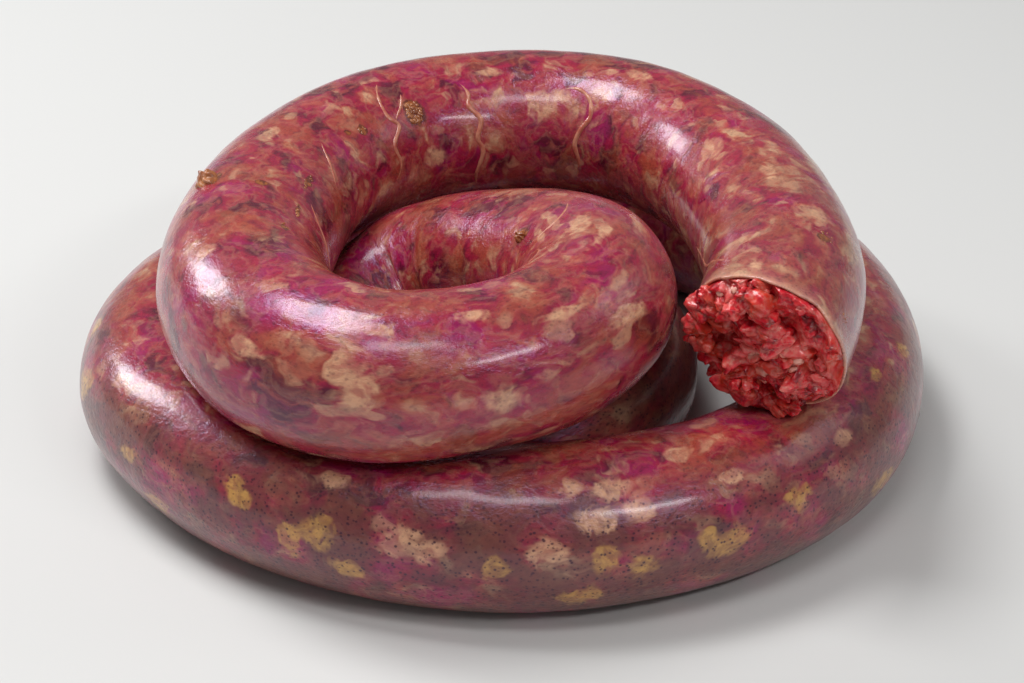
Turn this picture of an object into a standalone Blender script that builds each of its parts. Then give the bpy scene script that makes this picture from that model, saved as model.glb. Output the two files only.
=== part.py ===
"""Coil of raw fresh sausage: one rope wound twice round in two layers, cut open at both ends.

Two solids, both run the whole length of the rope: the thin casing, a tube open at its ends, and the
coarse mince inside it, which shows at the cuts. Metres, Z up, standing on Z = 0.
"""

import math

import bmesh
import bpy
import numpy as np

MM = 0.001

# The rope's centreline and radius, from the tail at the back to the end that lies on top:
# x, y, z and radius, all in mm. The first turn lies flat, the last one rests on it.
ROUTE = (
    (10, 77.5, 15.6, 16.2),
    (31, 73, 16.0, 16.5),
    (52, 60, 16.2, 16.8),
    (72, 31, 16.4, 17.0),
    (78, -6, 16.6, 17.2),
    (70, -40, 16.8, 17.4),
    (45, -67, 17.0, 17.6),
    (10, -79, 17.2, 17.8),
    (-29, -73, 17.0, 17.6),
    (-59, -52, 16.6, 17.2),
    (-78, -20, 16.2, 16.8),
    (-76, 14, 16.0, 16.6),
    (-58, 40, 16.0, 16.6),
    (-29, 50, 15.8, 16.4),
    (4, 42, 15.8, 16.4),
    (24, 14, 15.8, 16.4),
    (27, -16, 15.8, 16.4),
    (9, -39, 15.8, 16.4),
    (-18, -41, 16.0, 16.4),
    (-36, -26, 17.6, 16.3),
    (-38, -10, 20.5, 16.2),
    (-33.5, 2.5, 24.0, 16.2),
    (-24, 9.5, 28.5, 16.2),
    (-12, 8, 33.5, 16.3),
    (-1, -1, 39.0, 16.4),
    (10, -14, 45.0, 16.7),
    (18.5, -31, 50.0, 17.0),
    (19, -48, 51.5, 17.3),
    (9, -62.5, 50.2, 17.4),
    (-7, -70.5, 49.0, 17.7),
    (-25, -72, 48.2, 18.2),
    (-43, -62, 48.0, 18.8),
    (-54.5, -39, 48.4, 19.0),
    (-54.5, -11, 49.0, 18.5),
    (-46, 18, 49.8, 17.6),
    (-28, 41, 50.4, 17.2),
    (1, 51, 50.8, 17.1),
    (30, 45, 50.8, 17.1),
    (49, 24, 50.2, 17.2),
    (58, -4, 50.0, 17.4),
    (60, -34, 50.2, 17.6),
    (54, -61, 49.6, 17.8),
)

SIDES = 16  # corners round the rope
STATIONS = 96  # rings along the rope
FINE = 700  # samples of the centreline that the stations are chosen from
WALL = 0.8  # casing thickness, mm
GAP = 0.3  # clearance between casing and mince, mm
TOUCH = 0.6  # clearance left where two turns press together, mm
SOFT = 0.5  # how gently a pressed flat runs out into the round, mm
APART = 58.0  # turns closer than this along the rope don't press on each other, mm
SLANT = 0.28  # lean of the cut at the top end: its upper edge stands forward
SKEW = 0.30  # turn of that cut: the side away from the coil's middle stands forward
SLANT_RUN = 26.0  # length over which the lean fades in, mm
BULGE = 4.5  # how far the mince stands out of a cut, mm
LUMPS = 1.3  # height of the lumps on a cut face, mm
FACE_RINGS = (0.78, 0.5, 0.22)  # rings that step in across a cut face, as shares of its radius


def eased(at, knots, values):
    """A smooth curve through the values at their knots, read at each entry of at."""
    steps = np.diff(knots)
    slopes = np.diff(values) / steps
    tangents = np.zeros(len(values))
    tangents[1:-1] = (slopes[:-1] * steps[1:] + slopes[1:] * steps[:-1]) / (steps[:-1] + steps[1:])
    tangents[0] = 1.5 * slopes[0] - 0.5 * tangents[1]
    tangents[-1] = 1.5 * slopes[-1] - 0.5 * tangents[-2]
    i = np.clip(np.searchsorted(knots, at) - 1, 0, len(knots) - 2)
    h = steps[i]
    s = (at - knots[i]) / h
    start = (1 + 2 * s) * (1 - s) ** 2 * values[i] + s * (1 - s) ** 2 * h * tangents[i]
    end = s * s * (3 - 2 * s) * values[i + 1] + s * s * (s - 1) * h * tangents[i + 1]
    return start + end


def unit(vectors):
    return vectors / np.linalg.norm(vectors, axis=-1, keepdims=True)


class Rope:
    """The centreline sampled along its length, with a frame and a radius at each sample."""

    def __init__(self, stations):
        route = np.array(ROUTE, float)
        chords = np.linalg.norm(np.diff(route[:, :3], axis=0), axis=1)
        knots = np.concatenate([[0.0], np.cumsum(chords)])
        at = np.linspace(0.0, knots[-1], FINE)
        centre = np.stack([eased(at, knots, route[:, c]) for c in range(3)], axis=1)
        along = np.concatenate([[0.0], np.cumsum(np.linalg.norm(np.diff(centre, axis=0), axis=1))])
        tangent = unit(np.gradient(centre, along, axis=0))
        bend = np.linalg.norm(np.gradient(tangent, along, axis=0), axis=1)
        if stations:
            # More rings where the rope turns tightly.
            crowd = np.concatenate([[0.0], np.cumsum(np.sqrt(bend[1:] + 0.006) * np.diff(along))])
            pick = np.interp(np.linspace(0.0, crowd[-1], stations), crowd, along)
        else:
            pick = along
        radius = eased(at, knots, route[:, 3])
        self.along = pick
        self.centre = np.stack([np.interp(pick, along, centre[:, c]) for c in range(3)], axis=1)
        self.tangent = unit(np.stack([np.interp(pick, along, tangent[:, c]) for c in range(3)], axis=1))
        self.radius = np.interp(pick, along, radius)
        self.side = unit(np.cross(self.tangent, (0.0, 0.0, 1.0)))
        self.up = np.cross(self.side, self.tangent)


def soft_over(depth):
    """The depth a point is moved back by: nothing well outside, all of it well inside."""
    return SOFT * np.logaddexp(0.0, depth / SOFT)


def pressed(points, centre, along, radius, spine):
    """Moves points out of the turns their own turn lies against, to a shared flat between the two."""
    for _ in range(3):
        offset = spine.centre - centre
        distance = np.linalg.norm(offset, axis=1)
        near = (np.abs(spine.along - along) > APART) & (distance < radius + spine.radius + 6.0)
        if not near.any():
            return points
        normal = offset[near] / distance[near, None]
        flat = (distance[near] ** 2 + radius**2 - spine.radius[near] ** 2) / (2 * distance[near])
        depth = (points - centre) @ normal.T - (flat - TOUCH / 2)[None, :]
        worst = depth.argmax(axis=1)
        step = soft_over(depth[np.arange(len(points)), worst])
        points = points - normal[worst] * np.where(step > 1e-3, step, 0.0)[:, None]
    return points


def rope_rings(rope, spine):
    """Rings of corners of the outer skin, in mm, one per station."""
    turn = 2 * math.pi * (np.arange(SIDES) + 0.5) / SIDES
    rings = []
    for i in range(len(rope.along)):
        reach = rope.radius[i] / math.cos(math.pi / SIDES)
        points = rope.centre[i] + reach * (
            np.cos(turn)[:, None] * rope.side[i] + np.sin(turn)[:, None] * rope.up[i]
        )
        points = pressed(points, rope.centre[i], rope.along[i], rope.radius[i], spine)
        points[:, 2] = np.maximum(points[:, 2], 0.0)
        near_end = np.clip(1.0 - (rope.along[-1] - rope.along[i]) / SLANT_RUN, 0.0, 1.0)
        lean = near_end * ((points - rope.centre[i]) @ (SLANT * rope.up[i] - SKEW * rope.side[i]))
        rings.append(points + lean[:, None] * rope.tangent[i])
    return rings


def inset(ring, centre, depth):
    """The ring drawn in towards its centre by a depth in mm."""
    arms = ring - centre
    return centre + arms * (1.0 - depth / np.linalg.norm(arms, axis=1, keepdims=True))


def loft(rings):
    """A bmesh tube through the rings, open at both ends: one circle, then one extrusion per ring."""
    shape = bmesh.new()
    bmesh.ops.create_circle(shape, segments=SIDES, radius=1.0)
    shape.verts.ensure_lookup_table()
    shape.edges.ensure_lookup_table()
    loop = list(shape.verts)
    edges = list(shape.edges)
    for vert, place in zip(loop, rings[0]):
        vert.co = place * MM
    for ring in rings[1:]:
        made = bmesh.ops.extrude_edge_only(shape, edges=edges)["geom"]
        edges = [item for item in made if isinstance(item, bmesh.types.BMEdge)]
        following = {}
        for old in loop:
            for edge in old.link_edges:
                new = edge.other_vert(old)
                if new in made:
                    following[old] = new
        loop = [following[old] for old in loop]
        for vert, place in zip(loop, ring):
            vert.co = place * MM
    return shape


def lump(x, y, seed):
    """A lumpy height from -1 to 1 over a cut face, x and y in mm."""
    waves = (
        math.sin(0.55 * x + seed) * math.cos(0.48 * y - seed),
        math.sin(0.9 * y - 0.5 * x + 2.0 * seed),
        math.cos(0.8 * x + 0.7 * y + 3.0 * seed),
    )
    return sum(waves) / 3.0


def face_rings(rope, ring, station, outward, seed):
    """Rings that close the mince at a cut, and the place of its middle."""
    centre = ring.mean(axis=0)
    push = rope.tangent[station] * outward
    rings = []
    for share in FACE_RINGS:
        rise = BULGE * (1.0 - share**2)
        spots = centre + (ring - centre) * share + push * rise
        across = (spots - centre) @ rope.side[station]
        upward = (spots - centre) @ rope.up[station]
        heights = [LUMPS * lump(x, y, seed) for x, y in zip(across, upward)]
        rings.append(spots + push * np.array(heights)[:, None])
    middle = centre + push * (BULGE + LUMPS * lump(0.0, 0.0, seed))
    return rings, middle


def add_object(name, shape, collection, material):
    """Puts a bmesh in the scene as a smooth-shaded object of the collection."""
    bmesh.ops.recalc_face_normals(shape, faces=shape.faces)
    mesh = bpy.data.meshes.new(name)
    shape.to_mesh(mesh)
    shape.free()
    mesh.polygons.foreach_set("use_smooth", [True] * len(mesh.polygons))
    mesh.materials.append(material)
    made = bpy.data.objects.new(name, mesh)
    collection.objects.link(made)
    return made


def make_material(name, colour, roughness):
    material = bpy.data.materials.new(name)
    material.use_nodes = True
    surface = material.node_tree.nodes["Principled BSDF"]
    surface.inputs["Base Color"].default_value = (*colour, 1.0)
    surface.inputs["Roughness"].default_value = roughness
    surface.inputs["Metallic"].default_value = 0.0
    material.diffuse_color = (*colour, 1.0)
    return material


def make_casing(rings, collection):
    """The skin: a tube of the rope's length, its wall grown inwards, open at both ends."""
    colour = make_material("casing_skin", (0.36, 0.13, 0.12), 0.3)
    casing = add_object("casing", loft(rings), collection, colour)
    wall = casing.modifiers.new("wall", "SOLIDIFY")
    wall.thickness = WALL * MM
    wall.offset = -1.0
    wall.use_even_offset = False
    return casing


def make_filling(rope, rings, collection):
    """The mince: a core inside the casing that bulges out of each cut as a lumpy face."""
    core = [inset(ring, centre, WALL + GAP + 0.15) for ring, centre in zip(rings, rope.centre)]
    first, first_middle = face_rings(rope, core[0], 0, -1.0, 0.7)
    last, last_middle = face_rings(rope, core[-1], -1, 1.0, 2.1)
    shape = loft(first[::-1] + core + last)
    rims = [edge for edge in shape.edges if edge.is_boundary]
    for middle in (first_middle, last_middle):
        target = middle * MM
        mine = [
            edge
            for edge in rims
            if np.linalg.norm(np.array(edge.verts[0].co) - target) < 0.008
        ]
        filled = bmesh.ops.contextual_create(shape, geom=mine)["faces"]
        hub = bmesh.ops.poke(shape, faces=filled)["verts"]
        hub[0].co = target
    return add_object("filling", shape, collection, make_material("mince", (0.45, 0.07, 0.06), 0.35))


def main():
    for stale in list(bpy.data.objects):
        bpy.data.objects.remove(stale, do_unlink=True)
    scene = bpy.context.scene
    scene.unit_settings.system = "METRIC"
    collection = bpy.data.collections.new("sausage_coil")
    scene.collection.children.link(collection)
    spine = Rope(0)
    rope = Rope(STATIONS)
    rings = rope_rings(rope, spine)
    points = np.concatenate(rings)
    middle = (points.min(axis=0) + points.max(axis=0)) / 2
    middle[2] = 0.0
    rings = [ring - middle for ring in rings]
    rope.centre = rope.centre - middle
    make_casing(rings, collection)
    make_filling(rope, rings, collection)


main()
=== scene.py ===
"""Coil of raw fresh sausage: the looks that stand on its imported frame.

One rope of coarse mince in a thin natural casing lies in a wide ring, climbs through its middle and
lies once more round on top, where it ends in an open cut. All sizes are in millimetres until a
mesh is made, and the patterns follow the rope as if it were pulled straight.
"""

from __future__ import annotations

import logging
import math
import random
from dataclasses import dataclass, field
from enum import Enum

import bmesh
import bpy
import numpy as np
from mathutils import Matrix, Vector, noise


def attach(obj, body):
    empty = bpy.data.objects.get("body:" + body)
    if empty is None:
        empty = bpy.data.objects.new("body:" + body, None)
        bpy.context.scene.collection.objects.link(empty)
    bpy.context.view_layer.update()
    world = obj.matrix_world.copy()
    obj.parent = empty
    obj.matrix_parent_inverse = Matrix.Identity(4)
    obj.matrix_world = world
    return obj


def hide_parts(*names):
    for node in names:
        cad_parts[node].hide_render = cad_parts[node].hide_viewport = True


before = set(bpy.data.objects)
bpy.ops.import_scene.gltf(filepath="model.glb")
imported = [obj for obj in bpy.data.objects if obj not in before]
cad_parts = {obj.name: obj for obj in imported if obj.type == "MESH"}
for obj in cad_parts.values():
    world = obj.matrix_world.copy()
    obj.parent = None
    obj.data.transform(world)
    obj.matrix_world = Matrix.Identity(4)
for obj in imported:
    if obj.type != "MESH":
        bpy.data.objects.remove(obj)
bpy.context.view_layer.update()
LOG = logging.getLogger("sausage_coil")
MM = 0.001

# Centreline and radius of the rope, from its hidden tail to the cut end on top: x, y, z, radius.
ROUTE = (
    (10, 77.5, 15.6, 16.2),
    (31, 73, 16.0, 16.5),
    (52, 60, 16.2, 16.8),
    (72, 31, 16.4, 17.0),
    (78, -6, 16.6, 17.2),
    (70, -40, 16.8, 17.4),
    (45, -67, 17.0, 17.6),
    (10, -79, 17.2, 17.8),
    (-29, -73, 17.0, 17.6),
    (-59, -52, 16.6, 17.2),
    (-78, -20, 16.2, 16.8),
    (-76, 14, 16.0, 16.6),
    (-58, 40, 16.0, 16.6),
    (-29, 50, 15.8, 16.4),
    (4, 42, 15.8, 16.4),
    (24, 14, 15.8, 16.4),
    (27, -16, 15.8, 16.4),
    (9, -39, 15.8, 16.4),
    (-18, -41, 16.0, 16.4),
    (-36, -26, 17.6, 16.3),
    (-38, -10, 20.5, 16.2),
    (-33.5, 2.5, 24.0, 16.2),
    (-24, 9.5, 28.5, 16.2),
    (-12, 8, 33.5, 16.3),
    (-1, -1, 39.0, 16.4),
    (10, -14, 45.0, 16.7),
    (18.5, -31, 50.0, 17.0),
    (19, -48, 51.5, 17.3),
    (9, -62.5, 50.2, 17.4),
    (-7, -70.5, 49.0, 17.7),
    (-25, -72, 48.2, 18.2),
    (-43, -62, 48.0, 18.8),
    (-54.5, -39, 48.4, 19.0),
    (-54.5, -11, 49.0, 18.5),
    (-46, 18, 49.8, 17.6),
    (-28, 41, 50.4, 17.2),
    (1, 51, 50.8, 17.1),
    (30, 45, 50.8, 17.1),
    (49, 24, 50.2, 17.2),
    (58, -4, 50.0, 17.4),
    (60, -34, 50.2, 17.6),
    (54, -61, 49.6, 17.8),
)
CENTRING = (-0.462, -1.769, 0.0)  # what the frame was moved by to stand on the middle of its outline


def eased(at: np.ndarray, knots: np.ndarray, values: np.ndarray) -> np.ndarray:
    """Reads a smooth curve through the values at their knots.

    Args:
        at: Where to read the curve.
        knots: Rising positions of the values.
        values: The curve's values at the knots.

    Returns:
        The curve's value at each entry of at.
    """
    steps = np.diff(knots)
    slopes = np.diff(values) / steps
    tangents = np.zeros(len(values))
    tangents[1:-1] = (slopes[:-1] * steps[1:] + slopes[1:] * steps[:-1]) / (steps[:-1] + steps[1:])
    tangents[0] = 1.5 * slopes[0] - 0.5 * tangents[1]
    tangents[-1] = 1.5 * slopes[-1] - 0.5 * tangents[-2]
    i = np.clip(np.searchsorted(knots, at) - 1, 0, len(knots) - 2)
    h = steps[i]
    s = (at - knots[i]) / h
    start = (1 + 2 * s) * (1 - s) ** 2 * values[i] + s * (1 - s) ** 2 * h * tangents[i]
    end = s * s * (3 - 2 * s) * values[i + 1] + s * s * (s - 1) * h * tangents[i + 1]
    return start + end


def unit(vectors: np.ndarray) -> np.ndarray:
    """The vectors at length one."""
    return vectors / np.linalg.norm(vectors, axis=-1, keepdims=True)


def fade(value: np.ndarray | float, low: float, high: float) -> np.ndarray:
    """A smooth step from 0 at low to 1 at high, which may also run downwards."""
    t = np.clip((np.asarray(value, float) - low) / (high - low), 0.0, 1.0)
    return t * t * (3 - 2 * t)


def ripple(points: np.ndarray, scale: float, seed: float, octaves: int = 1) -> np.ndarray:
    """Smooth noise from about -1 to 1 at each point.

    Args:
        points: N x 3 positions in mm.
        scale: Size of one wave in mm.
        seed: Shifts the pattern.
        octaves: How many finer layers are added, each half as strong.

    Returns:
        N values.
    """
    out = np.zeros(len(points))
    for layer in range(octaves):
        fine = points / scale * 2.0**layer + seed + 17.3 * layer
        out += np.array([noise.noise(Vector(p)) for p in fine.tolist()]) * 0.5**layer
    return out * 1.4


@dataclass
class Rope:
    """The rope's centreline with a frame and radius at each sample.

    Attributes:
        samples: How many samples the whole length has.
    """

    samples: int = 700
    along: np.ndarray = field(init=False)
    centre: np.ndarray = field(init=False)
    tangent: np.ndarray = field(init=False)
    radius: np.ndarray = field(init=False)
    side: np.ndarray = field(init=False)
    up: np.ndarray = field(init=False)
    bend: np.ndarray = field(init=False)

    def __post_init__(self) -> None:
        """Samples the route evenly by length."""
        route = np.array(ROUTE, float)
        chords = np.linalg.norm(np.diff(route[:, :3], axis=0), axis=1)
        knots = np.concatenate([[0.0], np.cumsum(chords)])
        at = np.linspace(0.0, knots[-1], 700)
        centre = np.stack([eased(at, knots, route[:, c]) for c in range(3)], axis=1)
        run = np.concatenate([[0.0], np.cumsum(np.linalg.norm(np.diff(centre, axis=0), axis=1))])
        tangent = unit(np.gradient(centre, run, axis=0))
        bend = np.gradient(tangent, run, axis=0)
        radius = eased(at, knots, route[:, 3])
        self.along = np.linspace(0.0, run[-1], self.samples)
        self.centre = self._read(run, centre) - np.array(CENTRING)
        self.tangent = unit(self._read(run, tangent))
        self.bend = self._read(run, bend)
        self.radius = np.interp(self.along, run, radius)
        self.side = unit(np.cross(self.tangent, (0.0, 0.0, 1.0)))
        self.up = np.cross(self.side, self.tangent)

    def _read(self, run: np.ndarray, rows: np.ndarray) -> np.ndarray:
        """Rows of three read at the samples' places."""
        return np.stack([np.interp(self.along, run, rows[:, c]) for c in range(3)], axis=1)

    @property
    def length(self) -> float:
        """The rope's length in mm."""
        return float(self.along[-1])

    def row(self, along: float) -> int:
        """The sample nearest to a place along the rope."""
        return int(np.clip(round(along / self.length * (self.samples - 1)), 0, self.samples - 1))


@dataclass(frozen=True)
class Patch:
    """A mark on the skin: where it is, how long and wide it is, in mm and degrees.

    The angle goes round the rope: 90 is its top, and 180 the side away from the coil's middle.
    """

    along: float
    angle: float
    length: float
    width: float


class Marks(Enum):
    """The marks that are placed one by one, by kind."""

    GOLD = (
        Patch(341, 160, 4, 3.5), Patch(287, 159, 3, 2), Patch(289, 150, 2.5, 1.6), Patch(272, 166, 4, 3.5),
        Patch(276, 178, 2.5, 4), Patch(200, 178, 4, 3), Patch(204, 170, 2.5, 2.5), Patch(185, 162, 3, 2.5),
        Patch(226, 204, 4, 3), Patch(135, 136, 2.5, 2), Patch(266, 190, 3, 2), Patch(216, 183, 3, 2.5),
        Patch(150, 122, 2.5, 1.6), Patch(310, 200, 4, 2.5), Patch(222, 172, 2.5, 4), Patch(98, 170, 4, 3),
        Patch(60, 150, 4, 3), Patch(375, 175, 4, 3), Patch(160, 195, 4, 3), Patch(1024, 140, 5, 3),
        Patch(925, 165, 4, 3), Patch(355, 140, 3, 2.5), Patch(240, 176, 2.5, 3), Patch(318, 172, 3, 2),
    )
    CREAM = (
        Patch(256, 162, 4.5, 3.5), Patch(252, 168, 3, 3), Patch(220, 127, 3.5, 2.5), Patch(227, 122, 2.5, 2),
        Patch(232, 166, 4, 2.5), Patch(205, 107, 3, 2), Patch(223, 147, 4, 3), Patch(216, 143, 3, 2.5),
        Patch(270, 129, 4, 2), Patch(786, 113, 3, 2), Patch(197, 135, 2.5, 1.8), Patch(979, 36, 5, 3.5),
        Patch(984, 44, 4, 2), Patch(997, 49, 4, 2.5), Patch(1047, 57, 5, 3), Patch(804, 160, 2.5, 6),
        Patch(807, 148, 2, 4), Patch(802, 120, 3, 2), Patch(745, 76, 6, 2.4), Patch(741, 121, 4, 2),
        Patch(898, 96, 5, 2), Patch(845, 120, 2.5, 2), Patch(943, 3, 4, 3), Patch(965, 69, 4, 2),
        Patch(1068, 84, 5, 2), Patch(1088, 112, 4, 2), Patch(1112, 80, 3, 1.5), Patch(1004, 78, 4, 2),
        Patch(784, 174, 2.5, 3), Patch(760, 150, 4, 2), Patch(68, 120, 5, 3), Patch(118, 160, 5, 3),
        Patch(405, 150, 5, 3), Patch(1036, 150, 5, 3), Patch(955, 160, 5, 3), Patch(875, 160, 5, 3),
        Patch(30, 140, 5, 3), Patch(770, 128, 5, 1.6), Patch(735, 60, 7, 1.4), Patch(738, 46, 6, 1.2),
        Patch(822, 150, 3, 2), Patch(748, 95, 5, 1.6), Patch(330, 130, 4, 2), Patch(170, 140, 3, 2),
    )
    STAIN = (
        Patch(939, 42, 4.0, 3.4), Patch(918, 47, 1.6, 1.5), Patch(882, 50, 3.6, 0.9), Patch(866, 50, 3.0, 0.8),
        Patch(851, 62, 2.0, 0.8), Patch(872, 79, 1.2, 1.8), Patch(875.5, 115, 2.6, 1.6), Patch(1095, 117, 1.2, 1.8),
        Patch(727, 40, 3.0, 1.5), Patch(913, 52, 1.2, 0.9),
    )

    def field(self, along: np.ndarray, angle: np.ndarray, girth: float) -> np.ndarray:
        """How far each point is from the nearest patch, in sizes of that patch.

        Args:
            along: Each point's place along the rope in mm.
            angle: Each point's angle round it in degrees.
            girth: The rope's radius in mm.

        Returns:
            0 at a patch's middle, 1 at its edge, 3 and no more far from it.
        """
        nearest = np.full(along.shape, 3.0)
        for patch in self.value:
            turn = np.radians((angle - patch.angle + 180.0) % 360.0 - 180.0) * girth
            reach = np.hypot((along - patch.along) / patch.length, turn / patch.width)
            nearest = np.minimum(nearest, reach)
        return nearest


@dataclass
class Shader:
    """Short calls for the nodes of one material.

    Attributes:
        material: The material that the nodes belong to.
    """

    material: bpy.types.Material

    def __post_init__(self) -> None:
        """Finds the surface shader of the material."""
        self.nodes = self.material.node_tree.nodes
        self.links = self.material.node_tree.links
        self.surface = self.nodes["Principled BSDF"]

    def _put(self, socket: bpy.types.NodeSocket, value: object) -> None:
        """Links a socket into another, or sets its value."""
        if isinstance(value, bpy.types.NodeSocket):
            self.links.new(value, socket)
        elif isinstance(value, tuple) and len(value) == 3 and socket.type == "RGBA":
            socket.default_value = (*value, 1.0)
        else:
            socket.default_value = value

    def attribute(self, name: str, output: str = "Fac") -> bpy.types.NodeSocket:
        """The value of one of the mesh's own attributes."""
        node = self.nodes.new("ShaderNodeAttribute")
        node.attribute_name = name
        return node.outputs[output]

    def place(self) -> bpy.types.NodeSocket:
        """The object's own coordinates."""
        return self.nodes.new("ShaderNodeTexCoord").outputs["Object"]

    def maths(self, kind: str, first: object, second: object = 0.0, clamp: bool = False) -> bpy.types.NodeSocket:
        """A sum of two numbers.

        Args:
            kind: Name of the operation.
            first: Number or socket.
            second: Number or socket.
            clamp: Whether the result stays between 0 and 1.

        Returns:
            The result's socket.
        """
        node = self.nodes.new("ShaderNodeMath")
        node.operation = kind
        node.use_clamp = clamp
        self._put(node.inputs[0], first)
        self._put(node.inputs[1], second)
        return node.outputs[0]

    def vector(self, kind: str, first: object, second: object) -> bpy.types.NodeSocket:
        """A sum of two vectors."""
        node = self.nodes.new("ShaderNodeVectorMath")
        node.operation = kind
        self._put(node.inputs[0], first)
        self._put(node.inputs[1], second)
        return node.outputs[0]

    def clouds(self, where: object, scale: float, detail: float = 2.0, rough: float = 0.5,
               output: str = "Fac") -> bpy.types.NodeSocket:
        """Soft noise.

        Args:
            where: Coordinates.
            scale: Waves per metre.
            detail: Number of finer layers.
            rough: Strength of the finer layers.
            output: Fac or Color.

        Returns:
            The noise's socket.
        """
        node = self.nodes.new("ShaderNodeTexNoise")
        self._put(node.inputs["Vector"], where)
        node.inputs["Scale"].default_value = scale
        node.inputs["Detail"].default_value = detail
        node.inputs["Roughness"].default_value = rough
        return node.outputs[output]

    def cells(self, where: object, scale: float, kind: str = "F1", output: str = "Distance",
              smooth: float = 0.5) -> bpy.types.NodeSocket:
        """A pattern of cells.

        Args:
            where: Coordinates.
            scale: Cells per metre.
            kind: F1, SMOOTH_F1 or DISTANCE_TO_EDGE.
            output: Distance or Color.
            smooth: How far SMOOTH_F1 runs the cells together.

        Returns:
            The pattern's socket.
        """
        node = self.nodes.new("ShaderNodeTexVoronoi")
        node.feature = kind
        self._put(node.inputs["Vector"], where)
        node.inputs["Scale"].default_value = scale
        if kind == "SMOOTH_F1":
            node.inputs["Smoothness"].default_value = smooth
        return node.outputs[output]

    def ramp(self, value: object, *stops: tuple[float, tuple[float, float, float]]) -> bpy.types.NodeSocket:
        """Colours spread over a value from 0 to 1."""
        node = self.nodes.new("ShaderNodeValToRGB")
        self._put(node.inputs[0], value)
        ramp = node.color_ramp
        while len(ramp.elements) < len(stops):
            ramp.elements.new(1.0)
        for element, (at, colour) in zip(ramp.elements, stops):
            element.position = at
            element.color = (*colour, 1.0)
        return node.outputs[0]

    def step(self, value: object, low: float, high: float) -> bpy.types.NodeSocket:
        """A smooth step from 0 at low to 1 at high."""
        node = self.nodes.new("ShaderNodeMapRange")
        node.interpolation_type = "SMOOTHSTEP"
        self._put(node.inputs["Value"], value)
        rising = low < high
        node.inputs["From Min"].default_value = low if rising else high
        node.inputs["From Max"].default_value = high if rising else low
        node.inputs["To Min"].default_value = 0.0 if rising else 1.0
        node.inputs["To Max"].default_value = 1.0 if rising else 0.0
        return node.outputs["Result"]

    def mix(self, share: object, first: object, second: object, kind: str = "MIX") -> bpy.types.NodeSocket:
        """Two colours mixed.

        Args:
            share: How much of the second there is, 0 to 1.
            first: Colour or socket.
            second: Colour or socket.
            kind: Blend mode.

        Returns:
            The mixed colour's socket.
        """
        node = self.nodes.new("ShaderNodeMix")
        node.data_type = "RGBA"
        node.blend_type = kind
        self._put(node.inputs[0], share)
        self._put(node.inputs[6], first)
        self._put(node.inputs[7], second)
        return node.outputs[2]

    def channel(self, colour: bpy.types.NodeSocket, name: str = "Red") -> bpy.types.NodeSocket:
        """One channel of a colour."""
        node = self.nodes.new("ShaderNodeSeparateColor")
        self.links.new(colour, node.inputs[0])
        return node.outputs[name]

    def bump(self, height: object, rise: float, strength: float = 1.0) -> None:
        """Raises the surface by a height from 0 to 1, times a rise in metres."""
        node = self.nodes.new("ShaderNodeBump")
        node.inputs["Strength"].default_value = strength
        node.inputs["Distance"].default_value = rise
        self._put(node.inputs["Height"], height)
        self.links.new(node.outputs[0], self.surface.inputs["Normal"])

    def set(self, **values: object) -> None:
        """Sets or links sockets of the surface, named with underscores for spaces."""
        for name, value in values.items():
            self._put(self.surface.inputs[name.replace("_", " ")], value)


def new_material(name: str) -> Shader:
    """A fresh material with its surface shader, wrapped for short calls."""
    material = bpy.data.materials.new(name)
    material.use_nodes = True
    return Shader(material)


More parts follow.
